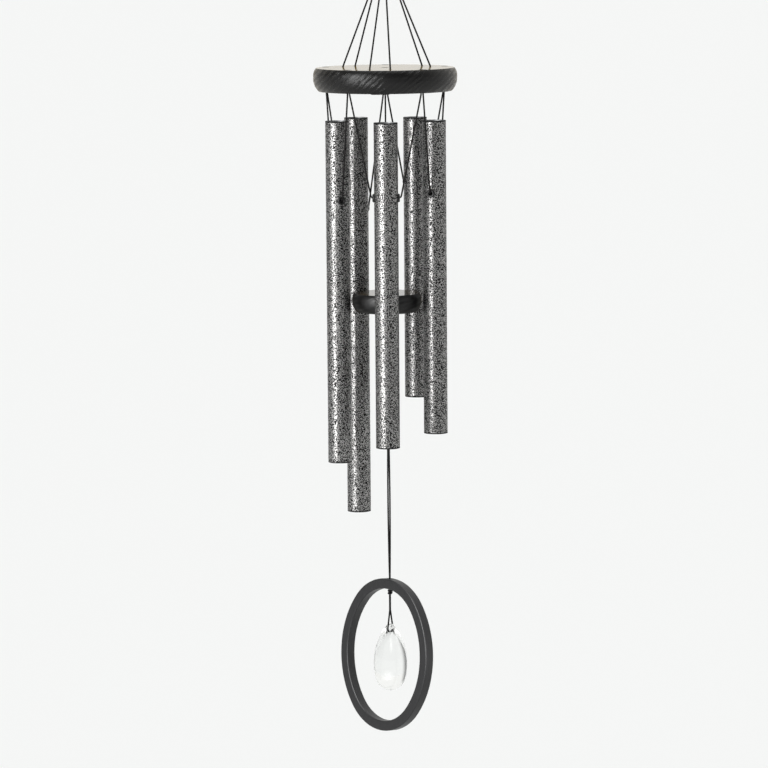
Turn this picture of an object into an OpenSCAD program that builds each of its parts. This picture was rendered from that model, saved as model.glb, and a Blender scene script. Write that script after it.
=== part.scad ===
// Wind chime: tubes hung in a ring under a turned wooden platform, with a wooden striker
// between them and an oval windcatcher below that frames a glass drop.
// The origin is the inside top of the hanging ring, where a hook carries the chime.
// Up is +Z, the front faces -Y, and all sizes are millimetres and degrees.

/* [Hanging ring] */
// Thickness of the ring's wire
ring_wire = 3; // [2:0.5:4]
// Clear width inside the ring
ring_inside = 18; // [16:1:30]

/* [Platform] */
// Diameter of the platform
platform_dia = 115; // [114:1:140]
// Thickness of the platform
platform_thick = 18.5; // [17:0.5:22]
// Height of the rounding at the platform's upper edge
platform_upper = 6; // [4:0.5:6]
// Height of the rounding at the platform's lower edge
platform_lower = 10; // [8:0.5:10.5]
// Height of the ring's lower wire above the platform
platform_drop = 85; // [65:1:130]
// Diameter of the circle through the middles of the three pairs of suspension holes
suspension_circle = 72; // [62:1:76]
// Distance between the two holes of a pair
suspension_pair = 16.4; // [12:0.2:20]
// Turn of the suspension holes about the middle
suspension_turn = -6.5; // [-10:0.5:10]

/* [Tubes] */
// Outside diameter of a tube
tube_dia = 19.05; // [16:0.05:20]
// Wall thickness of a tube
tube_wall = 1.6; // [1:0.1:2.2]
// Diameter of the circle that the tubes hang on
tube_circle = 81; // [79:0.5:82]
// Length of the front tube
tube_1_length = 259; // [230:1:320]
// Length of the right front tube
tube_2_length = 251; // [230:1:320]
// Length of the right back tube
tube_3_length = 227; // [220:1:320]
// Length of the left back tube
tube_4_length = 321; // [230:1:340]
// Length of the left front tube
tube_5_length = 274; // [230:1:320]
// Gap from the platform's underside down to the tubes
tube_gap = 23.1; // [18:0.1:34]
// Share of a tube's length that lies above its cord holes
hang_share = 0.23; // [0.21:0.005:0.25]

/* [Grommets] */
// Diameter of a grommet's flange
grommet_flange = 6.8; // [6:0.1:8]
// How far a grommet's flange stands out from the tube
grommet_stand = 1.4; // [1:0.1:2]

/* [Cord] */
// Diameter of the braided cord
cord_dia = 1.4; // [1.2:0.1:1.6]

/* [Striker] */
// Diameter of the striker
striker_dia = 56; // [50:0.5:56]
// Thickness of the striker
striker_thick = 15; // [14:0.5:18]
// Height of the rounding at the striker's upper edge
striker_upper = 5; // [3:0.5:5]
// Height of the rounding at the striker's lower edge
striker_lower = 8.5; // [6:0.5:8.5]
// Distance from the platform's underside to the middle of the striker
striker_hang = 169.5; // [150:0.5:185]

/* [Windcatcher] */
// Width of the oval
catcher_width = 103; // [90:1:110]
// Height of the oval
catcher_height = 124; // [118:1:140]
// How much tighter the oval's ends are than half its width
catcher_ease = 6; // [4:0.5:10]
// Width of the oval's band
catcher_band = 8.2; // [6:0.1:10]
// Thickness of the oval, from face to face
catcher_thick = 8.4; // [6.5:0.1:10]
// Length of cord from the striker's underside to the top of the oval
catcher_hang = 218; // [180:1:300]
// Turn of the oval away from the front
catcher_turn = 48; // [0:1:90]
// Lean of the oval out of plumb
catcher_lean = 4; // [0:0.5:6]

/* [Glass drop] */
// Largest diameter of the drop
drop_dia = 27.3; // [24:0.1:32]
// Height of the drop
drop_height = 54.9; // [52:0.1:58]
// Distance from the drop's tip down to its widest level
drop_rise = 32.6; // [30:0.1:34]
// Distance from the top of the oval down to the tip of the drop
drop_hang = 36.9; // [34:0.1:44]
// Distance from the drop's tip down to the middle of its hole
drop_hole_depth = 5.5; // [5:0.1:7]
// Turn of the drop's hole away from the front
drop_turn = 15; // [0:1:90]

/* [Hidden] */
$fn = 96;

wood = "#2c2b2c";
cord_black = "#161515";
silver_vein = "#77777a";

// Running gap between a cord or knot and what it carries
clear = 0.3;
// How much wider than the cord a hole is that the cord runs through
hole_room = 1;
cord_rad = cord_dia / 2;
knot_dia = 3.4 * cord_dia;
knot_rad = knot_dia / 2;

// Levels, from the hanging ring down
wire_rad = (ring_inside + ring_wire) / 2;
wire_level = -ring_inside - ring_wire / 2;
platform_top = wire_level - platform_drop;
platform_under = platform_top - platform_thick;
tube_top = platform_under - tube_gap;
striker_top = platform_under - striker_hang + striker_thick / 2;
striker_under = striker_top - striker_thick;
catcher_top = striker_under - catcher_hang;
drop_tip = catcher_top - drop_hang;

// Knots sit sunk in the platform's top, under the striker and under the oval's band
sunk_knot_level = platform_top - 0.4 - knot_rad;
stop_knot_level = striker_under - clear - knot_rad;
catcher_knot_level = catcher_top - catcher_band - clear - knot_rad;

// Tubes stand a fifth of a turn apart, the first at the front
tube_count = 5;
tube_step = 360 / tube_count;
tube_rad = tube_circle / 2;
tube_lengths = [tube_1_length, tube_2_length, tube_3_length, tube_4_length, tube_5_length];
function tube_angle(n) = 270 + tube_step * (n - 1);
function hole_level(n) = tube_top - hang_share * tube_lengths[n - 1];

// Each hole between two tubes takes one strand from either side
strand_shift = 0.8 * cord_dia;
cord_hole_rad = tube_rad / cos(tube_step / 2);
cord_hole_dia = 2 * (strand_shift + cord_rad) + 0.4;
half_span = tube_rad * tan(tube_step / 2) - strand_shift;

// Curves of the oval: flat sides of one radius and round ends of another, which meet smoothly
oval_half = catcher_width / 2;
oval_rise = catcher_height / 2;
end_rad = oval_half - catcher_ease;
end_shift = oval_rise - end_rad;
side_rad = (end_shift * end_shift + oval_half * oval_half - end_rad * end_rad) / (2 * catcher_ease);

// The oval hangs a little off the middle, so that its lean and the drop's weight balance:
// it is this share of their weight together
catcher_share = 0.211;
catcher_shift = catcher_share * (oval_rise - catcher_band / 2) * sin(catcher_lean);
catcher_place = catcher_shift * [sin(catcher_turn), cos(catcher_turn)];

// Curves of the drop: flanks of one radius, a round bottom and a small round tip
drop_rad = drop_dia / 2;
drop_fall = drop_height - drop_rise;
flank_reach = drop_rise + 1.9;
flank_rad = (drop_rad * drop_rad + flank_reach * flank_reach) / drop_dia;
flank_shift = flank_rad - drop_rad;
function cap_rad(reach) =
    (flank_rad * flank_rad - flank_shift * flank_shift - reach * reach) / (2 * (flank_rad - reach));
tip_rad = cap_rad(drop_rise);
bottom_rad = cap_rad(drop_fall);
drop_hole_dia = cord_dia + 0.6;
drop_hole_level = drop_tip - drop_hole_depth;
// Half the drop's width at its hole
drop_face = sqrt(flank_rad * flank_rad - pow(drop_rise - drop_hole_depth, 2)) - flank_shift;

// A round cord swept along a route: frames are carried along so that the cord doesn't twist
cord_sides = 8;
function unit(v) = v / norm(v);
function mirrored(path) = [for (i = [len(path) - 1:-1:0]) [path[i].x, -path[i].y, path[i].z]];
function heading(path, i) =
    i == 0 ? unit(path[1] - path[0]) :
    i == len(path) - 1 ? unit(path[i] - path[i - 1]) :
    unit(unit(path[i + 1] - path[i]) + unit(path[i] - path[i - 1]));
function carried(path, side, i = 0) =
    i == len(path) ? [] :
    let (h = heading(path, i))
    let (s = unit(side - (side * h) * h))
    concat([s], carried(path, s, i + 1));

module cord(path, side, dia = cord_dia) {
    frames = carried(path, side);
    points = [
        for (i = [0:len(path) - 1])
        let (up = cross(heading(path, i), frames[i]))
        for (j = [0:cord_sides - 1])
        path[i] + dia / 2 * (cos(360 * j / cord_sides) * frames[i] + sin(360 * j / cord_sides) * up)
    ];
    walls = [
        for (i = [0:len(path) - 2])
        for (j = [0:cord_sides - 1])
        let (a = i * cord_sides + j)
        let (b = i * cord_sides + (j + 1) % cord_sides)
        each [[a, b + cord_sides, b], [a, a + cord_sides, b + cord_sides]]
    ];
    last = (len(path) - 1) * cord_sides;
    first_end = [for (j = [0:cord_sides - 1]) j];
    last_end = [for (j = [cord_sides - 1:-1:0]) last + j];
    polyhedron(points, concat(walls, [first_end, last_end]));
}

module knot() {
    sphere(d = knot_dia);
}

// Half outline of a turned disc, from its flat top at 0 down, with a tight rounding at its
// upper edge and a longer one at its lower edge, which leave the flats at an angle
upper_curve = 1.5;
lower_curve = 1.4;
module turned_outline(dia, thick, upper, lower) {
    rad = dia / 2;
    upper_rad = upper_curve * upper;
    lower_rad = lower_curve * lower;
    translate([0, -upper]) square([rad - upper_rad, upper]);
    intersection() {
        translate([rad - upper_rad, -upper]) circle(upper_rad);
        translate([0, -upper]) square([rad, upper]);
    }
    translate([0, lower - thick]) square([rad, thick - upper - lower]);
    translate([0, -thick]) square([rad - lower_rad, lower]);
    intersection() {
        translate([rad - lower_rad, lower - thick]) circle(lower_rad);
        translate([0, -thick]) square([rad, lower]);
    }
}

// A hole down through the platform, with its two edges eased
module eased_hole(dia) {
    ease = 0.6;
    translate([0, 0, platform_under - 1]) cylinder(d = dia, h = platform_thick + 2);
    translate([0, 0, platform_top - ease]) cylinder(d1 = dia, d2 = dia + 4 * ease, h = 2 * ease);
    translate([0, 0, platform_under - ease]) cylinder(d1 = dia + 4 * ease, d2 = dia, h = 2 * ease);
}

// A hole with a wider seat at its top that sinks a knot
module knot_hole(dia) {
    seat = knot_dia + 0.6;
    translate([0, 0, platform_under - 1]) cylinder(d = dia, h = platform_thick);
    translate([0, 0, platform_top - seat]) cylinder(d = knot_dia + 1.6, h = seat + 1);
}

function pair_angle(k) = 270 + suspension_turn + 120 * (k - 1);
function pair_middle(k) = suspension_circle / 2 * [cos(pair_angle(k)), sin(pair_angle(k))];
function pair_hole(k, side) =
    pair_middle(k) + side * suspension_pair / 2 * [-sin(pair_angle(k)), cos(pair_angle(k))];

module hanging_ring() {
    color("silver")
    translate([0, 0, -ring_inside / 2]) rotate([90, 0, 0])
    rotate_extrude() translate([wire_rad, 0]) circle(d = ring_wire);
}

module platform() {
    color(wood)
    difference() {
        translate([0, 0, platform_top]) rotate_extrude()
            turned_outline(platform_dia, platform_thick, platform_upper, platform_lower);
        for (k = [1:3], side = [-1, 1]) translate(pair_hole(k, side)) eased_hole(cord_dia + hole_room);
        for (n = [1:tube_count]) rotate(tube_angle(n) + tube_step / 2)
            translate([cord_hole_rad, 0]) knot_hole(cord_hole_dia);
        knot_hole(cord_hole_dia);
    }
}

// The sunk knots that end the tubes' cords, each with the two strands that it ties
module tube_cord_knots() {
    color(cord_black)
    for (n = [1:tube_count]) {
        rotate(tube_angle(n) + tube_step / 2) translate([cord_hole_rad, 0, sunk_knot_level]) knot();
        for (side = [-1, 1]) rotate(tube_angle(n))
            translate([tube_rad, side * half_span, platform_under])
            cylinder(d = cord_dia, h = sunk_knot_level - platform_under);
    }
}

// One suspension cord: from a stitch under the platform up through a hole, over the ring's wire
// and down through the other hole of its pair, where its ends meet under the platform
wire_spread = cord_dia + 0.5;
loop_rad = ring_wire / 2 + clear + cord_rad;
stitch_bend = 2;
stitch_level = platform_under - cord_rad - 0.05;
function wire_place(k) = wire_spread * [0, 1, -1][k - 1];
function wire_height(x) = -ring_inside / 2 - sqrt(wire_rad * wire_rad - x * x);
function front_side(k) = cos(pair_angle(k)) < 0 ? 1 : -1;
function on_wire(k, a) = [wire_place(k), loop_rad * cos(a), wire_height(wire_place(k)) + loop_rad * sin(a)];
function leave_angle(k, hole, turn) =
    let (rise = platform_top - wire_height(wire_place(k)))
    atan2(rise, hole.y) + turn * acos(loop_rad / norm([hole.y, rise]));
function strand_foot(k, hole, goal) =
    let (d = unit(hole - pair_middle(k)))
    let (foot = [hole.x, hole.y, platform_top + 0.2])
    concat(
        [concat(pair_middle(k) + 0.15 * d, stitch_level)],
        [for (a = [0:30:90])
            concat(hole - d * stitch_bend * (1 - sin(a)), stitch_level + stitch_bend * (1 - cos(a)))],
        [concat(hole, platform_top - 0.8), foot + 0.8 * unit(goal - foot)]
    );
function reversed(path) = [for (i = [len(path) - 1:-1:0]) path[i]];
function suspension_path(k) =
    let (near = pair_hole(k, front_side(k)))
    let (far = pair_hole(k, -front_side(k)))
    let (a0 = leave_angle(k, near, -1) + 360)
    let (a1 = leave_angle(k, far, 1))
    concat(
        strand_foot(k, near, on_wire(k, a0)),
        [for (i = [0:5]) on_wire(k, a0 + (a1 - a0) * i / 5)],
        reversed(strand_foot(k, far, on_wire(k, a1)))
    );

module suspension_cord(k) {
    color(cord_black) cord(suspension_path(k), [0, 0, 1]);
}

// A tube hangs open at both ends, with two holes across it for its cord
sleeve_dia = cord_dia + hole_room + 1.8;
module tube(n) {
    long = tube_lengths[n - 1];
    color(silver_vein)
    rotate(tube_angle(n)) translate([tube_rad, 0, tube_top - long])
    difference() {
        cylinder(d = tube_dia, h = long);
        translate([0, 0, -1]) cylinder(d = tube_dia - 2 * tube_wall, h = long + 2);
        translate([0, 0, long * (1 - hang_share)]) rotate([90, 0, 0])
            cylinder(d = sleeve_dia + 0.1, h = 2 * tube_dia, center = true);
    }
}

// Two bushings line a tube's holes, each with a rounded flange that sits on the tube's round side
grommet_bore = cord_dia + hole_room;
grommet_nose = (grommet_flange - grommet_bore) / 4;
grommet_reach = tube_dia / 2 + grommet_stand;
grommet_crown = grommet_reach - grommet_nose;

// Half outline of a flange, from inside the tube out to the round nose that the cord turns over
module flange_outline() {
    low = tube_dia / 4;
    translate([grommet_bore / 2, low]) square([2 * grommet_nose, grommet_crown - low]);
    translate([grommet_bore / 2 + grommet_nose, grommet_crown]) circle(grommet_nose);
}

module tube_grommets(n) {
    inner = tube_dia / 2 - tube_wall - 0.6;
    color("#1c1b1b")
    rotate(tube_angle(n)) translate([tube_rad, 0, hole_level(n)])
    for (side = [0, 180]) rotate(side) rotate([-90, 0, 0]) {
        difference() {
            rotate_extrude() flange_outline();
            rotate([90, 0, 0]) cylinder(d = tube_dia, h = 2 * tube_dia, center = true);
        }
        difference() {
            translate([0, 0, inner]) cylinder(d = sleeve_dia, h = grommet_crown - inner);
            cylinder(d = grommet_bore, h = 2 * tube_dia);
        }
    }
}

// A tube's cord: down from one hole in the platform, through both grommets and up to the next hole
grommet_bend = grommet_bore / 2 + grommet_nose;
function sling_side(n) =
    let (low = hole_level(n))
    let (high = platform_under - clear)
    let (slant = atan2(half_span - grommet_crown - grommet_bend, high - low - grommet_bend))
    concat(
        [for (i = [0:3]) let (a = -90 + i * (90 - slant) / 3)
            [0, grommet_crown + grommet_bend * cos(a), low + grommet_bend * (1 + sin(a))]],
        [[0, half_span, high]]
    );

module tube_sling(n) {
    color(cord_black)
    rotate(tube_angle(n)) translate([tube_rad, 0])
    cord(concat(mirrored(sling_side(n)), sling_side(n)), [1, 0, 0]);
}

module striker_top_knot() {
    color(cord_black) translate([0, 0, sunk_knot_level]) knot();
}

// The striker's cord runs from its sunk knot down through the striker
module striker_cord() {
    low = striker_under + 0.5;
    high = sunk_knot_level - knot_rad - clear;
    color(cord_black) translate([0, 0, low]) cylinder(d = cord_dia, h = high - low);
}

snug = 0.2;
module striker() {
    color(wood)
    difference() {
        translate([0, 0, striker_top]) rotate_extrude()
            turned_outline(striker_dia, striker_thick, striker_upper, striker_lower);
        translate([0, 0, striker_under - 1]) cylinder(d = cord_dia + snug, h = striker_thick + 2);
    }
}

module striker_stop_knot() {
    color(cord_black) translate([0, 0, stop_knot_level]) knot();
}

// Two strands, loosely turned about each other, carry the windcatcher
strand_apart = 0.55 * cord_dia;
sail_turn = 270;
function sail_path(start) =
    let (high = stop_knot_level - knot_rad - clear)
    let (low = catcher_knot_level + knot_rad)
    [for (i = [0:10]) let (a = start + sail_turn * i / 10)
        concat(catcher_place * i / 10 + strand_apart * [cos(a), sin(a)], high + (low - high) * i / 10)];

module sail_cord() {
    color(cord_black)
    for (start = [0, 180]) cord(sail_path(start), [1, 0, 0]);
}

module windcatcher_knot() {
    color(cord_black) translate(concat(catcher_place, catcher_knot_level)) knot();
}

// Outline of the oval, drawn in by the inset on every side
module oval(inset) {
    meet = end_shift * (1 + (end_rad - inset) / (side_rad - end_rad));
    intersection() {
        translate([oval_half - side_rad, 0]) circle(side_rad - inset);
        translate([side_rad - oval_half, 0]) circle(side_rad - inset);
        square([2 * catcher_width, 2 * meet], center = true);
    }
    for (end = [-1, 1]) translate([0, end * end_shift]) circle(end_rad - inset);
}

// The oval ring hangs from the middle of its top band, through which its cord passes
band_hole_dia = 2 * cord_dia + 1.4;
module windcatcher() {
    color("#39393b")
    translate(concat(catcher_place, catcher_top - catcher_band / 2))
    rotate([-catcher_lean, 0, -catcher_turn])
    translate([0, 0, catcher_band / 2 - oval_rise])
    difference() {
        rotate([90, 0, 0]) linear_extrude(catcher_thick, center = true)
            difference() {
                oval(0);
                oval(catcher_band);
            }
        translate([0, 0, oval_rise - 2 * catcher_band]) cylinder(d = band_hole_dia, h = 3 * catcher_band);
    }
}

// The drop's cord comes down from the windcatcher's knot as two strands, which part to go
// through the hole in the drop's tip from both sides
drop_bend = 2.2;
drop_bend_start = drop_face - 0.6;
drop_strand_lean = 25;
drop_meet_ease = 1;
function drop_strand() =
    let (high = catcher_knot_level - knot_rad - clear)
    let (bend = [
        for (i = [0:4]) let (a = -90 + i * (90 + drop_strand_lean) / 4)
        [0, drop_bend_start + drop_bend * cos(a), drop_hole_level + drop_bend * (1 + sin(a))]
    ])
    let (meet = bend[4].z + (bend[4].y - strand_apart) / tan(drop_strand_lean))
    concat(bend, [
        [0, strand_apart + drop_meet_ease * tan(drop_strand_lean), meet - drop_meet_ease],
        [0, strand_apart + drop_meet_ease * tan(drop_strand_lean) / 4, meet],
        [0, strand_apart, meet + drop_meet_ease],
        [0, strand_apart, high]
    ]);

module drop_cord() {
    color(cord_black)
    translate(catcher_place) rotate(-drop_turn)
    cord(concat(mirrored(drop_strand()), drop_strand()), [1, 0, 0]);
}

// Half outline of the drop, with its widest level at 0
module drop_outline() {
    low = -(drop_fall - bottom_rad) * (1 + bottom_rad / (flank_rad - bottom_rad));
    high = (drop_rise - tip_rad) * (1 + tip_rad / (flank_rad - tip_rad));
    intersection() {
        union() {
            intersection() {
                translate([-flank_shift, 0]) circle(flank_rad);
                translate([0, low]) square([drop_dia, high - low]);
            }
            translate([0, bottom_rad - drop_fall]) circle(bottom_rad);
            translate([0, drop_rise - tip_rad]) circle(tip_rad);
        }
        translate([0, -drop_height]) square([drop_dia, 2 * drop_height]);
    }
}

module glass_drop() {
    color([0.86, 0.9, 0.9, 0.5])
    translate(concat(catcher_place, drop_tip - drop_rise)) rotate(-drop_turn)
    difference() {
        rotate_extrude() drop_outline();
        translate([0, 0, drop_rise - drop_hole_depth]) rotate([90, 0, 0])
            cylinder(d = drop_hole_dia, h = 2 * drop_dia, center = true);
    }
}

hanging_ring();
platform();
tube_cord_knots();
suspension_cord(1);  // suspension_cord_1
suspension_cord(2);  // suspension_cord_2
suspension_cord(3);  // suspension_cord_3
tube(1);  // tube_1
tube(2);  // tube_2
tube(3);  // tube_3
tube(4);  // tube_4
tube(5);  // tube_5
tube_grommets(1);  // tube_1_grommets
tube_grommets(2);  // tube_2_grommets
tube_grommets(3);  // tube_3_grommets
tube_grommets(4);  // tube_4_grommets
tube_grommets(5);  // tube_5_grommets
tube_sling(1);  // tube_1_sling
tube_sling(2);  // tube_2_sling
tube_sling(3);  // tube_3_sling
tube_sling(4);  // tube_4_sling
tube_sling(5);  // tube_5_sling
striker_top_knot();
striker_cord();
striker();
striker_stop_knot();
sail_cord();
windcatcher_knot();
windcatcher();
drop_cord();
glass_drop();
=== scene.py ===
import math

import bpy
from mathutils import Matrix, Vector


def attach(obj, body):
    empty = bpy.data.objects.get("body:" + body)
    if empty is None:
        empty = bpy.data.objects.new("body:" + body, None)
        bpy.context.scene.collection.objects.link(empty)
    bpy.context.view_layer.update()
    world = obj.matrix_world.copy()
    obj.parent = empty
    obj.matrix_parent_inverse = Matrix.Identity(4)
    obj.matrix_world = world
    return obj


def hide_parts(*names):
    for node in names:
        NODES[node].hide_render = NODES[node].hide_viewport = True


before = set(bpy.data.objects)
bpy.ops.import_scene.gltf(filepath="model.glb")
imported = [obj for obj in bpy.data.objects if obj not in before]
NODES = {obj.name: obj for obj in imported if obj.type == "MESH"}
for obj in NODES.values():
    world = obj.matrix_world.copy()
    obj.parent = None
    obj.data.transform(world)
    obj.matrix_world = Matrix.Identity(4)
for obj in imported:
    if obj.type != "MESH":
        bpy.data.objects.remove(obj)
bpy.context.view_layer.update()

MM = 0.001

# Camera: a long lens a little above the platform, as the photograph was taken
CAMERA_PLACE = (-0.00285, -3.2, 0.0427)
CAMERA_DOWN, CAMERA_ROLL = 7.1535, -0.45
LENS, SENSOR = 187.68, 36
SIGHT = 200
camera_data = bpy.data.cameras.new("camera")
camera_data.lens = LENS
camera_data.sensor_width = SENSOR
camera_data.clip_end = SIGHT
camera = bpy.data.objects.new("camera", camera_data)
camera.matrix_world = (
    Matrix.Translation(CAMERA_PLACE)
    @ Matrix.Rotation(math.radians(90 - CAMERA_DOWN), 4, "X")
    @ Matrix.Rotation(math.radians(CAMERA_ROLL), 4, "Z")
)
bpy.context.collection.objects.link(camera)
bpy.context.scene.camera = camera

# Sizes in millimetres and angles in degrees, as the solids have them
CORD = 1.4
KNOT = 3.4 * CORD
KNOT_SINK = 0.4
CLEAR = 0.3
RING_INSIDE, RING_WIRE = 18, 3
PLATFORM_DROP, PLATFORM_THICK = 85, 18.5
FRONT = 270
PAIR_CIRCLE, PAIR_GAP, PAIR_TURN, PAIR_STEP = 36, 16.4, -6.5, 120
TUBE_CIRCLE, TUBE_RADIUS, TUBE_GAP = 40.5, 19.05 / 2, 23.1
TUBE_LENGTHS = [259, 251, 227, 321, 274]
TUBES = range(1, len(TUBE_LENGTHS) + 1)
TUBE_STEP = 360 / len(TUBE_LENGTHS)
HANG_SHARE = 0.23
GROMMET_STAND, GROMMET_BORE, GROMMET_NOSE = 1.4, 2.4, 1.1
STRIKER_HANG, STRIKER_THICK = 169.5, 15
CATCHER_HANG, CATCHER_HIGH, CATCHER_BAND = 218, 124, 8.2
CATCHER_TURN, CATCHER_LEAN = 48, 4
DROP_HANG, DROP_WIDE, DROP_RISE, DROP_HOLE_DEPTH, DROP_TURN = 36.9, 27.3, 32.6, 5.5, 15
STRAND_SHIFT = 0.8 * CORD
STRAND_APART = 0.55 * CORD
HALF_SPAN = TUBE_CIRCLE * math.tan(math.radians(TUBE_STEP / 2)) - STRAND_SHIFT
UP = Vector((0, 0, 1))

# Levels, down from the hanging ring
PLATFORM_TOP = -RING_INSIDE - RING_WIRE / 2 - PLATFORM_DROP
PLATFORM_UNDER = PLATFORM_TOP - PLATFORM_THICK
TUBE_TOP = PLATFORM_UNDER - TUBE_GAP
STRIKER_UNDER = PLATFORM_UNDER - STRIKER_HANG - STRIKER_THICK / 2
CATCHER_TOP = STRIKER_UNDER - CATCHER_HANG
DROP_HOLE = CATCHER_TOP - DROP_HANG - DROP_HOLE_DEPTH
SUNK_KNOT = PLATFORM_TOP - KNOT_SINK - KNOT / 2
STOP_KNOT = STRIKER_UNDER - CLEAR - KNOT / 2
CATCHER_KNOT = CATCHER_TOP - CATCHER_BAND - CLEAR - KNOT / 2


def cosd(a):
    return math.cos(math.radians(a))


def sind(a):
    return math.sin(math.radians(a))


def tube_angle(n):
    """Where a tube hangs round the chime, counted from the front one."""
    return FRONT + TUBE_STEP * (n - 1)


def out_and_along(angle):
    """The directions outwards and along the circle at this angle."""
    return Vector((cosd(angle), sind(angle), 0)), Vector((-sind(angle), cosd(angle), 0))


# The oval hangs a little off the middle, so that its lean and the drop's weight balance: it is this share
# of their weight together
CATCHER_SHARE = 0.211
CATCHER_SHIFT = CATCHER_SHARE * (CATCHER_HIGH - CATCHER_BAND) / 2 * sind(CATCHER_LEAN)
CATCHER_PLACE = (CATCHER_SHIFT * sind(CATCHER_TURN), CATCHER_SHIFT * cosd(CATCHER_TURN))

# The drop's flank is an arc that would meet its twin a little above the tip, and it gives how far the
# drop's face stands from the middle at the cord's hole
FLANK_PAST_TIP = 1.9
FLANK_RADIUS = ((DROP_WIDE / 2) ** 2 + (DROP_RISE + FLANK_PAST_TIP) ** 2) / DROP_WIDE
FLANK_SHIFT = FLANK_RADIUS - DROP_WIDE / 2
DROP_FACE = math.sqrt(FLANK_RADIUS ** 2 - (DROP_RISE - DROP_HOLE_DEPTH) ** 2) - FLANK_SHIFT


# Materials: one function turns a hex colour to linear, and one adds a node with its links
def tint(hex_code):
    parts = [int(hex_code[i:i + 2], 16) / 255 for i in (1, 3, 5)]
    return [c / 12.92 if c <= 0.04045 else ((c + 0.055) / 1.055) ** 2.4 for c in parts] + [1]


def add(tree, kind, links=None, **settings):
    made = tree.nodes.new(kind)
    for key, value in settings.items():
        setattr(made, key, value)
    for key, value in (links or {}).items():
        if isinstance(value, bpy.types.NodeSocket):
            tree.links.new(value, made.inputs[key])
        else:
            made.inputs[key].default_value = value
    return made


def start(name):
    material = bpy.data.materials.new(name)
    material.use_nodes = True
    tree = material.node_tree
    tree.nodes.clear()
    shader = add(tree, "ShaderNodeBsdfPrincipled")
    add(tree, "ShaderNodeOutputMaterial", {"Surface": shader.outputs["BSDF"]})
    place = add(tree, "ShaderNodeTexCoord").outputs["Object"]
    return material, tree, shader, place


def shades(ramp, *stops):
    while len(ramp.elements) < len(stops):
        ramp.elements.new(0.5)
    for element, (position, colour) in zip(ramp.elements, stops):
        element.position = position
        element.color = tint(colour)


def per_mm(size):
    """Texture scale, in cycles per metre, for a pattern of this size in millimetres."""
    return 1 / (size * MM)


# Pattern sizes in millimetres
VEIN = 0.78
GROWTH_LAYER, PORE, PORE_PATCH = 3.6, 0.8, 18
GRAIN, SPRAY = 1.2, 0.5
YARN = 0.35
MOULD_SKIN = 0.4
DRAW_MARK = 0.6
RIPPLE = 14

# Silver vein powder coat: as it bakes, silver flake is drawn into worms on a black ground. The flake
# mirrors a lamp and the ground does not, so the tube sparkles in its highlight and is dark grey beside it
COAT_THINS, COAT_THIN = 1.3, 0.5
BARE_INSIDE = 8.3


def silver_vein_coat(axis, top, length):
    material, tree, shader, place = start("silver_vein_powder_coat")
    worms = add(tree, "ShaderNodeTexNoise", {
        "Vector": place, "Scale": per_mm(VEIN), "Detail": 0.5, "Roughness": 0.5, "Distortion": 0.5})
    flake = add(tree, "ShaderNodeMapRange", {
        "Value": worms.outputs["Fac"], "From Min": 0.48, "From Max": 0.54})
    # the coat thins over each sawn end and leaves a dark line there
    height = add(tree, "ShaderNodeSeparateXYZ", {0: place})
    from_middle = add(tree, "ShaderNodeMath", {
        0: height.outputs["Z"], 1: (top - length / 2) * MM}, operation="SUBTRACT")
    away = add(tree, "ShaderNodeMath", {0: from_middle.outputs["Value"]}, operation="ABSOLUTE")
    full = add(tree, "ShaderNodeMapRange", {
        "Value": away.outputs["Value"], "From Min": (length / 2 - COAT_THINS) * MM,
        "From Max": (length / 2 - COAT_THIN) * MM, "To Min": 1.0, "To Max": 0.1})
    silver = add(tree, "ShaderNodeMath", {
        0: flake.outputs["Result"], 1: full.outputs["Result"]}, operation="MULTIPLY")
    ramp = add(tree, "ShaderNodeValToRGB", {"Fac": silver.outputs["Value"]})
    shades(ramp.color_ramp, (0, "#070707"), (0.5, "#545454"), (1, "#a3a2a1"))
    # the coat stops at the tube's ends: inside is bare drawn aluminium
    from_axis = add(tree, "ShaderNodeVectorMath", {0: place, 1: (*axis, 0)}, operation="SUBTRACT")
    flat = add(tree, "ShaderNodeVectorMath", {
        0: from_axis.outputs["Vector"], 1: (1, 1, 0)}, operation="MULTIPLY")
    out = add(tree, "ShaderNodeVectorMath", {0: flat.outputs["Vector"]}, operation="LENGTH")
    bare = add(tree, "ShaderNodeMath", {0: out.outputs["Value"], 1: BARE_INSIDE * MM}, operation="LESS_THAN")
    surface = add(tree, "ShaderNodeMix", {
        "Factor": bare.outputs["Value"], "A": ramp.outputs["Color"], "B": tint("#a9aaab")}, data_type="RGBA")
    tree.links.new(surface.outputs["Result"], shader.inputs["Base Color"])
    metal = add(tree, "ShaderNodeMath", {
        0: silver.outputs["Value"], 1: bare.outputs["Value"]}, operation="MAXIMUM")
    tree.links.new(metal.outputs["Value"], shader.inputs["Metallic"])
    shader.inputs["Specular IOR Level"].default_value = 0.06
    gloss = add(tree, "ShaderNodeMapRange", {
        "Value": silver.outputs["Value"], "To Min": 0.55, "To Max": 0.36})
    tree.links.new(gloss.outputs["Result"], shader.inputs["Roughness"])
    relief = add(tree, "ShaderNodeBump", {
        "Height": silver.outputs["Value"], "Strength": 0.35, "Distance": 0.12 * MM})
    tree.links.new(relief.outputs["Normal"], shader.inputs["Normal"])
    return material


# Ash stained black under a satin lacquer: each growth layer starts with open pores, which stay as fine
# grooves and show as slanting streaks where the turned edge catches a lamp. A wave texture repeats once
# in this share of its scaled length
WAVE_REPEAT = 2 * math.pi / 20


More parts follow.
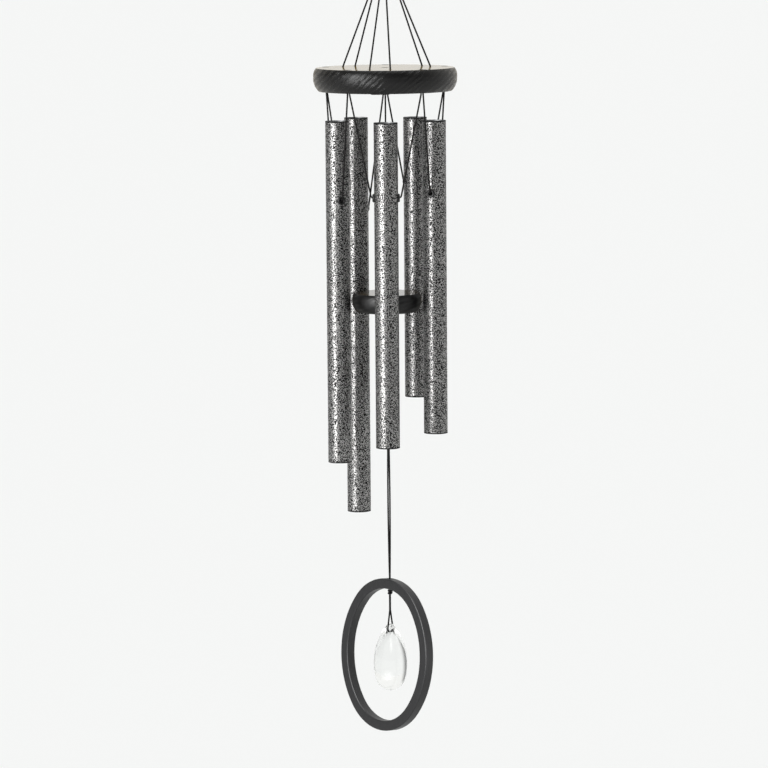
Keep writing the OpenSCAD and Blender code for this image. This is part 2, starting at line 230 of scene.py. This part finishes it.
def black_stained_ash(name, slant, sheen, specular, groove_dull, edge_dull, edge_on_dull):
    material, tree, shader, place = start(name)
    turned = add(tree, "ShaderNodeVectorRotate", {
        "Vector": place, "Axis": (0, 1, 0), "Angle": math.radians(slant)})
    layers = add(tree, "ShaderNodeTexWave", {
        "Vector": turned.outputs["Vector"], "Scale": WAVE_REPEAT * per_mm(GROWTH_LAYER), "Distortion": 6.0,
        "Detail": 2.0, "Detail Scale": 0.5, "Detail Roughness": 0.5}, bands_direction="Z")
    fibres = add(tree, "ShaderNodeMapping", {"Vector": turned.outputs["Vector"], "Scale": (0.07, 0.2, 1)})
    pores = add(tree, "ShaderNodeTexNoise", {
        "Vector": fibres.outputs["Vector"], "Scale": per_mm(PORE), "Detail": 2.0, "Roughness": 0.6})
    filled = add(tree, "ShaderNodeMapRange", {
        "Value": pores.outputs["Fac"], "From Min": 0.38, "From Max": 0.56, "To Min": 0.25})
    patches = add(tree, "ShaderNodeTexNoise", {"Vector": place, "Scale": per_mm(PORE_PATCH), "Detail": 1.0})
    open_pores = add(tree, "ShaderNodeMapRange", {
        "Value": patches.outputs["Fac"], "From Min": 0.38, "From Max": 0.62, "To Min": 0.15})
    height = add(tree, "ShaderNodeMath", {
        0: layers.outputs["Fac"], 1: filled.outputs["Result"]}, operation="MULTIPLY")
    ramp = add(tree, "ShaderNodeValToRGB", {"Fac": height.outputs["Value"]})
    shades(ramp.color_ramp, (0, "#040404"), (0.45, "#090909"), (1, "#100f0f"))
    tree.links.new(ramp.outputs["Color"], shader.inputs["Base Color"])
    # the upper face is sanded smooth before the lacquer, and the turned edge keeps its grooves
    facing = add(tree, "ShaderNodeSeparateXYZ", {0: add(tree, "ShaderNodeNewGeometry").outputs["Normal"]})
    turned_edge = add(tree, "ShaderNodeMapRange", {
        "Value": facing.outputs["Z"], "From Min": 0.9, "From Max": 0.99, "To Min": 1.0, "To Max": 0.0})
    dull = add(tree, "ShaderNodeMapRange", {
        "Value": height.outputs["Value"], "To Min": groove_dull, "To Max": edge_dull})
    # open pores can break up the gloss of the turned edge where it is seen edge on
    edge_on = add(tree, "ShaderNodeLayerWeight", {"Blend": 0.5})
    broken = add(tree, "ShaderNodeMapRange", {
        "Value": edge_on.outputs["Facing"], "From Min": 0.4, "From Max": 0.8, "To Max": edge_on_dull})
    rough = add(tree, "ShaderNodeMath", {
        0: dull.outputs["Result"], 1: broken.outputs["Result"]}, operation="ADD")
    gloss = add(tree, "ShaderNodeMix", {
        "Factor": turned_edge.outputs["Result"], "A": 0.12, "B": rough.outputs["Value"]})
    tree.links.new(gloss.outputs["Result"], shader.inputs["Roughness"])
    shader.inputs["Specular IOR Level"].default_value = specular
    # the lacquer has a warm cast where it is seen at a low angle
    shader.inputs["Sheen Weight"].default_value = sheen
    shader.inputs["Sheen Roughness"].default_value = 0.3
    shader.inputs["Sheen Tint"].default_value = tint("#d8b038")
    groove = add(tree, "ShaderNodeMath", {
        0: turned_edge.outputs["Result"], 1: open_pores.outputs["Result"]}, operation="MULTIPLY")
    relief = add(tree, "ShaderNodeBump", {
        "Height": height.outputs["Value"], "Strength": groove.outputs["Value"], "Distance": 0.3 * MM})
    tree.links.new(relief.outputs["Normal"], shader.inputs["Normal"])
    return material


# Close-grained wood under a sprayed charcoal lacquer: smooth, with only a breath of grain
def charcoal_lacquer():
    material, tree, shader, place = start("charcoal_lacquered_wood")
    stretched = add(tree, "ShaderNodeMapping", {"Vector": place, "Scale": (1, 1, 0.1)})
    grain = add(tree, "ShaderNodeTexNoise", {
        "Vector": stretched.outputs["Vector"], "Scale": per_mm(GRAIN), "Detail": 3.0})
    ramp = add(tree, "ShaderNodeValToRGB", {"Fac": grain.outputs["Fac"]})
    shades(ramp.color_ramp, (0.3, "#121213"), (0.7, "#171718"))
    tree.links.new(ramp.outputs["Color"], shader.inputs["Base Color"])
    shader.inputs["Specular IOR Level"].default_value = 0.34
    spray = add(tree, "ShaderNodeTexNoise", {"Vector": place, "Scale": per_mm(SPRAY), "Detail": 1.0})
    gloss = add(tree, "ShaderNodeMapRange", {
        "Value": spray.outputs["Fac"], "To Min": 0.34, "To Max": 0.46})
    tree.links.new(gloss.outputs["Result"], shader.inputs["Roughness"])
    relief = add(tree, "ShaderNodeBump", {
        "Height": spray.outputs["Fac"], "Strength": 0.12, "Distance": 0.05 * MM})
    tree.links.new(relief.outputs["Normal"], shader.inputs["Normal"])
    return material


# Braided polyester: dull black yarn that throws back very little light
def braided_polyester():
    material, tree, shader, place = start("braided_polyester_cord")
    yarn = add(tree, "ShaderNodeTexNoise", {"Vector": place, "Scale": per_mm(YARN), "Detail": 2.0})
    ramp = add(tree, "ShaderNodeValToRGB", {"Fac": yarn.outputs["Fac"]})
    shades(ramp.color_ramp, (0.3, "#050404"), (0.7, "#0d0b0b"))
    tree.links.new(ramp.outputs["Color"], shader.inputs["Base Color"])
    shader.inputs["Roughness"].default_value = 0.75
    shader.inputs["Specular IOR Level"].default_value = 0.25
    relief = add(tree, "ShaderNodeBump", {
        "Height": yarn.outputs["Fac"], "Strength": 0.3, "Distance": 0.05 * MM})
    tree.links.new(relief.outputs["Normal"], shader.inputs["Normal"])
    return material


# Moulded black nylon: an even, half-gloss skin
def moulded_nylon():
    material, tree, shader, place = start("moulded_black_nylon")
    skin = add(tree, "ShaderNodeTexNoise", {"Vector": place, "Scale": per_mm(MOULD_SKIN), "Detail": 2.0})
    ramp = add(tree, "ShaderNodeValToRGB", {"Fac": skin.outputs["Fac"]})
    shades(ramp.color_ramp, (0.3, "#050505"), (0.7, "#090909"))
    tree.links.new(ramp.outputs["Color"], shader.inputs["Base Color"])
    gloss = add(tree, "ShaderNodeMapRange", {
        "Value": skin.outputs["Fac"], "To Min": 0.24, "To Max": 0.36})
    tree.links.new(gloss.outputs["Result"], shader.inputs["Roughness"])
    shader.inputs["Specular IOR Level"].default_value = 0.42
    return material


# Drawn steel wire, nickel plated: bright, with fine draw marks, which are drawn coarser than real ones
# so that they show
def plated_wire():
    material, tree, shader, place = start("nickel_plated_wire")
    stretched = add(tree, "ShaderNodeMapping", {"Vector": place, "Scale": (1, 0.2, 1)})
    marks = add(tree, "ShaderNodeTexNoise", {
        "Vector": stretched.outputs["Vector"], "Scale": per_mm(DRAW_MARK), "Detail": 3.0})
    ramp = add(tree, "ShaderNodeValToRGB", {"Fac": marks.outputs["Fac"]})
    shades(ramp.color_ramp, (0.3, "#b4b2ad"), (0.7, "#cfcdc8"))
    tree.links.new(ramp.outputs["Color"], shader.inputs["Base Color"])
    shader.inputs["Metallic"].default_value = 1
    gloss = add(tree, "ShaderNodeMapRange", {
        "Value": marks.outputs["Fac"], "To Min": 0.16, "To Max": 0.34})
    tree.links.new(gloss.outputs["Result"], shader.inputs["Roughness"])
    return material


# Clear pressed glass, fire polished: smooth, with a trace of green and a slow ripple
def clear_glass():
    material, tree, shader, place = start("clear_pressed_glass")
    shader.inputs["Base Color"].default_value = tint("#fbfcfb")
    shader.inputs["Transmission Weight"].default_value = 1
    shader.inputs["IOR"].default_value = 1.45
    shader.inputs["Roughness"].default_value = 0.01
    ripple = add(tree, "ShaderNodeTexNoise", {"Vector": place, "Scale": per_mm(RIPPLE), "Detail": 1.0})
    relief = add(tree, "ShaderNodeBump", {
        "Height": ripple.outputs["Fac"], "Strength": 0.04, "Distance": 0.6 * MM})
    tree.links.new(relief.outputs["Normal"], shader.inputs["Normal"])
    return material


cord_finish = braided_polyester()

# Braid: a cord's round surface with the small raised diamonds of crossing yarns. The depth is a share of
# the cord's radius, and a cord is pulled thinner in a knot
BRAID_SIDES = 12
BRAID_YARNS = 3
BRAID_PITCH = 1.6
BRAID_STEP = 0.4
BRAID_DEPTH = 0.08
KNOT_CORD_RADIUS = 0.62


def evenly(points, step):
    """Points along the same line at an even step, and its length."""
    points = [Vector(p) for p in points]
    reach = [0]
    for a, b in zip(points, points[1:]):
        reach.append(reach[-1] + (b - a).length)
    count = max(2, round(reach[-1] / step))
    out, i = [], 0
    for k in range(count + 1):
        s = reach[-1] * k / count
        while i < len(points) - 2 and reach[i + 1] < s:
            i += 1
        t = (s - reach[i]) / (reach[i + 1] - reach[i])
        out.append(points[i].lerp(points[i + 1], min(max(t, 0), 1)))
    return out, reach[-1]


def braid(strands, rings=()):
    """One mesh of braided tubes along these open strands and, pulled thinner, these closed rings."""
    verts, faces = [], []
    lines = [(strand, CORD / 2, False) for strand in strands]
    lines += [(ring, KNOT_CORD_RADIUS, True) for ring in rings]
    for points, radius, closed in lines:
        line = evenly(points, BRAID_STEP)[0]
        if closed:
            line = line[:-1]
        count = len(line)
        side = None
        base = len(verts)
        for i, p in enumerate(line):
            ahead = line[(i + 1) % count] if closed or i < count - 1 else p
            behind = line[i - 1] if closed or i > 0 else p
            along = (ahead - behind).normalized()
            if side is None:
                side = along.orthogonal()
            side = (side - along * side.dot(along)).normalized()
            up = along.cross(side)
            wind = 2 * math.pi * i * BRAID_STEP / BRAID_PITCH
            for j in range(BRAID_SIDES):
                a = 2 * math.pi * j / BRAID_SIDES
                crown = abs(math.sin((BRAID_YARNS * a + wind) / 2) * math.sin((BRAID_YARNS * a - wind) / 2))
                r = radius * (1 - BRAID_DEPTH + BRAID_DEPTH * crown)
                verts.append(p + r * (math.cos(a) * side + math.sin(a) * up))
        for i in range(count if closed else count - 1):
            for j in range(BRAID_SIDES):
                a, b = base + i * BRAID_SIDES + j, base + i * BRAID_SIDES + (j + 1) % BRAID_SIDES
                c, d = [base + (v - base + BRAID_SIDES) % (count * BRAID_SIDES) for v in (b, a)]
                faces.append((a, b, c, d))
        if not closed:
            faces.append([base + j for j in reversed(range(BRAID_SIDES))])
            faces.append([base + (count - 1) * BRAID_SIDES + j for j in range(BRAID_SIDES)])
    mesh = bpy.data.meshes.new("braid")
    mesh.from_pydata([v * MM for v in verts], [], faces)
    mesh.polygons.foreach_set("use_smooth", [True] * len(mesh.polygons))
    mesh.update()
    return mesh


def cord_piece(name, mesh, body, *nodes):
    made = bpy.data.objects.new(name, mesh)
    bpy.context.collection.objects.link(made)
    made.data.materials.append(cord_finish)
    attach(made, body)
    if nodes:
        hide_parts(*nodes)
    return made


def free_cord(name, strand, body, lay, *nodes):
    made = cord_piece(name, braid([strand]), body, *nodes)
    line, length = evenly(strand, BRAID_STEP)


def arc(centre, across, up, radius, first, last, count):
    """Points on a circle from one angle to another."""
    out = []
    for i in range(count + 1):
        a = first + (last - first) * i / count
        out.append(Vector(centre) + radius * (cosd(a) * Vector(across) + sind(a) * Vector(up)))
    return out


# Suspension cords: up from a stitch under the platform, over the ring's wire and down again. The front
# cord lies in the middle of the wire, and the others beside it
WIRE_MIDDLE = (RING_INSIDE + RING_WIRE) / 2
LOOP_RADIUS = RING_WIRE / 2 + CLEAR + CORD / 2
LOOP_APART = CORD + 0.5
LOOP_SIDES = (0, 1, -1)
STITCH_BEND = 2
STITCH_CLEAR = 0.05
STITCH_LEVEL = PLATFORM_UNDER - CORD / 2 - STITCH_CLEAR
STITCH_PART = 0.15
HOLE_STAND, HOLE_EASE = 0.2, 0.8
BEND_POINTS, LOOP_POINTS = 8, 20


def suspension_strand(k):
    angle = FRONT + PAIR_TURN + PAIR_STEP * (k - 1)
    out, along = out_and_along(angle)
    middle = PAIR_CIRCLE * out
    front = 1 if cosd(angle) < 0 else -1
    x = LOOP_APART * LOOP_SIDES[k - 1]
    z = -RING_INSIDE / 2 - math.sqrt(WIRE_MIDDLE ** 2 - x ** 2)
    wire = Vector((x, 0, z))
    legs = []
    for turn in (-1, 1):
        way = along * (-turn * front)
        hole = middle + way * PAIR_GAP / 2
        rise = PLATFORM_TOP - z
        leave = math.degrees(math.atan2(rise, hole.y))
        leave += turn * math.degrees(math.acos(LOOP_RADIUS / math.hypot(hole.y, rise)))
        if turn < 0:
            leave += 360
        goal = wire + LOOP_RADIUS * Vector((0, cosd(leave), sind(leave)))
        foot = hole + UP * (PLATFORM_TOP + HOLE_STAND)
        bend_middle = hole - way * STITCH_BEND + UP * (STITCH_LEVEL + STITCH_BEND)
        leg = [middle + STITCH_PART * way + UP * STITCH_LEVEL]
        leg += arc(bend_middle, way, UP, STITCH_BEND, -90, 0, BEND_POINTS)
        leg += [hole + UP * (PLATFORM_TOP - HOLE_EASE), foot + HOLE_EASE * (goal - foot).normalized()]
        legs.append((leg, leave))
    over = arc(wire, (0, 1, 0), UP, LOOP_RADIUS, legs[0][1], legs[1][1], LOOP_POINTS)
    return legs[0][0] + over + legs[1][0][::-1]


for k in (1, 2, 3):
    free_cord(f"suspension_cord_{k}_braid", suspension_strand(k), "platform", "taut", f"suspension_cord_{k}")

# Slings: down from one hole in the platform, through both grommets and up to the next hole
GROMMET_BEND = GROMMET_BORE / 2 + GROMMET_NOSE


def sling_strand(n):
    out, along = out_and_along(tube_angle(n))
    low = TUBE_TOP - HANG_SHARE * TUBE_LENGTHS[n - 1]
    high = PLATFORM_UNDER - CLEAR
    crown = TUBE_RADIUS + GROMMET_STAND - GROMMET_NOSE
    slant = math.degrees(math.atan2(HALF_SPAN - crown - GROMMET_BEND, high - low - GROMMET_BEND))
    halves = []
    for side in (-1, 1):
        centre = TUBE_CIRCLE * out + side * crown * along + UP * (low + GROMMET_BEND)
        half = arc(centre, side * along, UP, GROMMET_BEND, -90, -slant, BEND_POINTS)
        half.append(TUBE_CIRCLE * out + side * HALF_SPAN * along + UP * high)
        halves.append(half)
    return halves[0][::-1] + halves[1]


for n in TUBES:
    free_cord(f"tube_{n}_sling_braid", sling_strand(n), f"sling_{n}", "taut", f"tube_{n}_sling")

# Striker cord: from under the sunk knot in the platform to just inside the striker's lower face
STRIKER_CORD_END = 0.5
striker_line = [(0, 0, SUNK_KNOT - KNOT / 2 - CLEAR), (0, 0, STRIKER_UNDER + STRIKER_CORD_END)]
free_cord("striker_cord_braid", striker_line, "striker", "taut", "striker_cord")

# Sail cord: two strands that wind round each other on their way to the windcatcher
SAIL_TURN = 270
SAIL_STEPS = 40


def sail_strand(first):
    high, low = STOP_KNOT - KNOT / 2 - CLEAR, CATCHER_KNOT + KNOT / 2
    out = []
    for i in range(SAIL_STEPS + 1):
        t = i / SAIL_STEPS
        a = first + SAIL_TURN * t
        x = CATCHER_PLACE[0] * t + STRAND_APART * cosd(a)
        y = CATCHER_PLACE[1] * t + STRAND_APART * sind(a)
        out.append((x, y, high + (low - high) * t))
    return out


free_cord("sail_cord_braid_1", sail_strand(0), "sail", "taut", "sail_cord")
free_cord("sail_cord_braid_2", sail_strand(180), "sail", "taut")

# Drop cord: a loop from the windcatcher's knot through the hole in the drop's tip
DROP_BEND = 2.2
DROP_LIP = 0.6
DROP_BEND_START = DROP_FACE - DROP_LIP
DROP_STRAND_LEAN = 25
DROP_MEET_EASE = 1
DROP_BEND_STEPS, DROP_MEET_STEPS = 12, 8


def drop_strand():
    high = CATCHER_KNOT - KNOT / 2 - CLEAR
    half = []
    for i in range(DROP_BEND_STEPS + 1):
        a = -90 + i * (90 + DROP_STRAND_LEAN) / DROP_BEND_STEPS
        half.append((DROP_BEND_START + DROP_BEND * cosd(a), DROP_HOLE + DROP_BEND * (1 + sind(a))))
    slope = math.tan(math.radians(DROP_STRAND_LEAN))
    meet = half[-1][1] + (half[-1][0] - STRAND_APART) / slope
    for i in range(DROP_MEET_STEPS + 1):
        t = 2 * i / DROP_MEET_STEPS - 1
        half.append((STRAND_APART + DROP_MEET_EASE * slope * (1 - t) ** 2 / 4, meet + DROP_MEET_EASE * t))
    half.append((STRAND_APART, high))
    along = Vector((sind(DROP_TURN), cosd(DROP_TURN), 0))
    middle = Vector((*CATCHER_PLACE, 0))
    line = [middle - y * along + UP * z for y, z in half[::-1]]
    return line + [middle + y * along + UP * z for y, z in half]


free_cord("drop_cord_braid", drop_strand(), "drop_cord", "hanging", "drop_cord")

# Knots: the cord wound tight on itself as an overhand stopper, with its ends drawn into the cords it
# joins. An end runs on past the knot's clearance, but under the striker it stops just short of the wood
KNOT_STEPS = 120
KNOT_TURNS, KNOT_LOBES = 2, 3
KNOT_REACH, KNOT_SWELL, KNOT_RISE = 1.02, 0.62, 1.5
END_PAST, END_SHORT = 0.5, -0.05
TAIL_SHORT = 0.8


def knot_line(centre):
    out = []
    for i in range(KNOT_STEPS + 1):
        a = 360 * i / KNOT_STEPS
        reach = KNOT_REACH + KNOT_SWELL * cosd(KNOT_LOBES * a)
        x, y = reach * cosd(KNOT_TURNS * a), reach * sind(KNOT_TURNS * a)
        out.append(Vector(centre) + Vector((x, y, KNOT_RISE * sind(KNOT_LOBES * a))))
    return out


def knot_ends(centre, way, angle=0, apart=0, past=END_PAST):
    """One short end, up or down from a knot, or two side by side at this angle."""
    reach = KNOT / 2 + CLEAR + past
    ends = []
    for shift in ((-apart, apart) if apart else (0,)):
        foot = Vector(centre) + shift * Vector((cosd(angle), sind(angle), 0))
        ends.append([foot, foot + way * reach * UP])
    return ends


def tied(name, centre, ends, body, node):
    cord_piece(name, braid(ends, [knot_line(centre)]), body, node)


top, stop, low = (0, 0, SUNK_KNOT), (0, 0, STOP_KNOT), (*CATCHER_PLACE, CATCHER_KNOT)
tied("striker_top_knot_tied", top, knot_ends(top, -1), "striker_pivot", "striker_top_knot")
stop_ends = knot_ends(stop, 1, past=END_SHORT) + knot_ends(stop, -1, 0, STRAND_APART)
tied("striker_stop_knot_tied", stop, stop_ends, "sail_pivot", "striker_stop_knot")
low_ends = knot_ends(low, 1, SAIL_TURN, STRAND_APART) + knot_ends(low, -1, 90 - DROP_TURN, STRAND_APART)
tied("windcatcher_knot_tied", low, low_ends, "sail", "windcatcher_knot")

# The tubes' cords end in the platform: two tails from neighbouring slings meet in each sunk knot
sunk, tails = [], []
for n in TUBES:
    angle = tube_angle(n)
    reach = TUBE_CIRCLE / cosd(TUBE_STEP / 2)
    between = angle + TUBE_STEP / 2
    sunk.append(knot_line((reach * cosd(between), reach * sind(between), SUNK_KNOT)))
    for side in (-1, 1):
        x = TUBE_CIRCLE * cosd(angle) - side * HALF_SPAN * sind(angle)
        y = TUBE_CIRCLE * sind(angle) + side * HALF_SPAN * cosd(angle)
        tails.append([(x, y, PLATFORM_UNDER), (x, y, SUNK_KNOT - TAIL_SHORT)])
cord_piece("tube_cord_knots_tied", braid([], sunk), "platform", "tube_cord_knots")
cord_piece("tube_cord_tails", braid(tails), "platform")

# Rigid pieces keep their solids and get their finish
EASE, EASE_STEPS, EASE_FROM = 1.0, 3, 50
JOIN_GAP = 0.01


def dress(node, finish):
    made = NODES[node]
    made.data.materials.clear()
    made.data.materials.append(finish)


def ease_edges(node):
    """Sharp edges rubbed round, over faces that are joined first."""
    weld = NODES[node].modifiers.new("joined faces", "WELD")
    weld.merge_threshold = JOIN_GAP * MM
    bevel = NODES[node].modifiers.new("eased edges", "BEVEL")
    bevel.width = EASE * MM
    bevel.segments = EASE_STEPS
    bevel.limit_method = "ANGLE"
    bevel.angle_limit = math.radians(EASE_FROM)
    NODES[node].modifiers.new("even shading", "WEIGHTED_NORMAL")


dress("hanging_ring", plated_wire())
dress("platform", black_stained_ash("black_stained_ash_platform", slant=42, sheen=0.14, specular=0.3,
                                    groove_dull=0.4, edge_dull=0.22, edge_on_dull=0.0))
dress("striker", black_stained_ash("black_stained_ash_striker", slant=20, sheen=0.04, specular=0.36,
                                   groove_dull=0.45, edge_dull=0.32, edge_on_dull=0.55))
dress("windcatcher", charcoal_lacquer())
dress("glass_drop", clear_glass())
ease_edges("windcatcher")
nylon = moulded_nylon()
for n in TUBES:
    angle = tube_angle(n)
    axis = (TUBE_CIRCLE * cosd(angle) * MM, TUBE_CIRCLE * sind(angle) * MM)
    dress(f"tube_{n}", silver_vein_coat(axis, TUBE_TOP, TUBE_LENGTHS[n - 1]))
    dress(f"tube_{n}_grommets", nylon)


# The studio, in metres: the floor and a card are flat sheets of four corners
def flat_sheet(name, corners, finish):
    mesh = bpy.data.meshes.new(name)
    mesh.from_pydata(corners, [], [(0, 1, 2, 3)])
    mesh.materials.append(finish)
    made = bpy.data.objects.new(name, mesh)
    bpy.context.collection.objects.link(made)
    return made


# Floor: plain and pale, well below the hanging chime and out to the horizon
FLOOR_HALF, FLOOR_LEVEL = 60, -1.5
floor_finish, _, shader, _ = start("pale_floor")
shader.inputs["Base Color"].default_value = tint("#f4f5f5")
shader.inputs["Roughness"].default_value = 0.9
shader.inputs["Specular IOR Level"].default_value = 0.1
corner_signs = ((-1, -1), (1, -1), (1, 1), (-1, 1))
floor_corners = [(x * FLOOR_HALF, y * FLOOR_HALF, FLOOR_LEVEL) for x, y in corner_signs]
floor = flat_sheet("floor", floor_corners, floor_finish)

# Dark card at the left, one metre off, which draws the dark edge of the glass: only the glass sees it, and
# it fades out towards its sides and top. Its bearings are counted leftwards from the back
CARD_MIDDLE, CARD_HALF = 60, 32
CARD_TOP, CARD_FADE = -0.25, 0.2
near, far = [Vector((-sind(a), cosd(a), 0)) for a in (CARD_MIDDLE - CARD_HALF, CARD_MIDDLE + CARD_HALF)]
card_finish, tree, shader, place = start("black_card")
shader.inputs["Base Color"].default_value = tint("#101112")
shader.inputs["Roughness"].default_value = 0.9
from_middle = add(tree, "ShaderNodeVectorMath", {0: place, 1: (near + far) / 2}, operation="SUBTRACT")
along_card = add(tree, "ShaderNodeVectorMath", {
    0: from_middle.outputs["Vector"], 1: (far - near).normalized()}, operation="DOT_PRODUCT")
away = add(tree, "ShaderNodeMath", {0: along_card.outputs["Value"]}, operation="ABSOLUTE")
dark = add(tree, "ShaderNodeMapRange", {
    "Value": away.outputs["Value"], "From Min": (far - near).length / 2, "From Max": 0.0},
    interpolation_type="SMOOTHSTEP")
height = add(tree, "ShaderNodeSeparateXYZ", {0: place})
under_top = add(tree, "ShaderNodeMapRange", {
    "Value": height.outputs["Z"], "From Min": CARD_TOP, "From Max": CARD_TOP - CARD_FADE})
shown = add(tree, "ShaderNodeMath", {
    0: dark.outputs["Result"], 1: under_top.outputs["Result"]}, operation="MULTIPLY")
tree.links.new(shown.outputs["Value"], shader.inputs["Alpha"])
card_feet = [near + FLOOR_LEVEL * UP, far + FLOOR_LEVEL * UP]
card_head = [far + CARD_TOP * UP, near + CARD_TOP * UP]
edge_card = flat_sheet("edge_card", card_feet + card_head, card_finish)
for way in ("camera", "diffuse", "glossy", "shadow", "volume_scatter"):
    setattr(edge_card, f"visible_{way}", False)

# Backdrop: bright round the far right and dim towards the front and left of the room, but pale to look at
# from every side, and through the glass
BRIGHT_WAY = (0.45, 0.89, 0)
DIM, BRIGHT, PALE = 0.2, 0.95, 0.925
world = bpy.data.worlds.new("studio")
bpy.context.scene.world = world
world.use_nodes = True
tree = world.node_tree
bearing = add(tree, "ShaderNodeVectorMath", {
    0: add(tree, "ShaderNodeTexCoord").outputs["Generated"], 1: BRIGHT_WAY}, operation="DOT_PRODUCT")
glow = add(tree, "ShaderNodeMapRange", {
    "Value": bearing.outputs["Value"], "From Min": -0.25, "From Max": 0.72, "To Min": DIM, "To Max": BRIGHT})
path = add(tree, "ShaderNodeLightPath")
direct = add(tree, "ShaderNodeMath", {
    0: path.outputs["Is Camera Ray"], 1: path.outputs["Is Transmission Ray"]}, operation="MAXIMUM")
seen = add(tree, "ShaderNodeMath", {0: direct.outputs["Value"], 1: PALE}, operation="MULTIPLY")
level = add(tree, "ShaderNodeMath", {
    0: glow.outputs["Result"], 1: seen.outputs["Value"]}, operation="MAXIMUM")
tree.nodes["Background"].inputs["Color"].default_value = tint("#fffffd")
tree.links.new(level.outputs["Value"], tree.nodes["Background"].inputs["Strength"])


# Lamps: a tall soft one at the left and even light from above, two for the oval alone, on its right side
# and along its ridges, and a soft one that puts a streak on the glass
def only(name, state, *things):
    """The things that a lamp is kept to, or kept off."""
    group = bpy.data.collections.new(name)
    for thing in things:
        group.objects.link(thing)
    for entry in group.collection_objects:
        entry.light_linking.link_state = state
    return group


def lamp(name, kind, place, aim, power, receivers, **settings):
    data = bpy.data.lights.new(name, kind)
    data.energy = power
    for key, value in settings.items():
        setattr(data, key, value)
    made = bpy.data.objects.new(name, data)
    made.location = place
    made.rotation_euler = (Vector(aim) - Vector(place)).to_track_quat("-Z", "Y").to_euler()
    made.visible_camera = False
    made.light_linking.receiver_collection = receivers
    bpy.context.collection.objects.link(made)
    return made


TUBES_MIDDLE, OVAL_MIDDLE = (0, 0, -0.25), (0, 0, -0.58)
drop, oval = NODES["glass_drop"], NODES["windcatcher"]
off_floor_and_glass = only("off_floor_and_glass", "EXCLUDE", floor, drop)
off_glass = only("off_glass", "EXCLUDE", drop)
oval_only = only("oval_only", "INCLUDE", oval)
glass_only = only("glass_only", "INCLUDE", drop)
lamp("left_softbox", "AREA", place=(-1.36, -1.52, 0.1), aim=TUBES_MIDDLE, power=62,
     receivers=off_floor_and_glass, shape="RECTANGLE", size=1.0, size_y=1.7)
lamp("top_light", "SUN", place=(0, 0, 3), aim=(0, 0, 0), power=1.72,
     receivers=off_glass, angle=math.radians(60))
lamp("right_card", "AREA", place=(1.5, -1.3, -0.5), aim=OVAL_MIDDLE, power=22,
     receivers=oval_only, shape="RECTANGLE", size=1.2, size_y=1.2)
lamp("front_card", "AREA", place=(-0.3, -1.4, 0.3), aim=OVAL_MIDDLE, power=68,
     receivers=oval_only, shape="RECTANGLE", size=1.0, size_y=2.2)
glass_lamp = lamp("glass_lamp", "AREA", place=(0.14, -1.2, 0.12), aim=OVAL_MIDDLE, power=13,
                  receivers=glass_only, shape="RECTANGLE", size=0.8, size_y=1.1)

# The lamp on the glass fades out from its middle, as one behind a diffuser does. Its face counts from
# 0 to 1 each way
FACE_MIDDLE, FACE_HALF = (0.5, 0.5, 0), 0.5
glass_lamp.data.use_nodes = True
tree = glass_lamp.data.node_tree
across = add(tree, "ShaderNodeVectorMath", {
    0: add(tree, "ShaderNodeNewGeometry").outputs["Parametric"], 1: FACE_MIDDLE}, operation="SUBTRACT")
away = add(tree, "ShaderNodeVectorMath", {0: across.outputs["Vector"]}, operation="LENGTH")
fade = add(tree, "ShaderNodeMapRange", {
    "Value": away.outputs["Value"], "From Min": FACE_HALF, "From Max": 0.0}, interpolation_type="SMOOTHSTEP")
tree.links.new(fade.outputs["Result"], tree.nodes["Emission"].inputs["Strength"])

bpy.context.scene.view_settings.view_transform = "Standard"

# Light that is mirrored round inside the glass is followed until it leaves
MOST_BOUNCES = 32
bounces = bpy.context.scene.cycles
bounces.max_bounces = MOST_BOUNCES
bounces.glossy_bounces = MOST_BOUNCES
bounces.transmission_bounces = MOST_BOUNCES
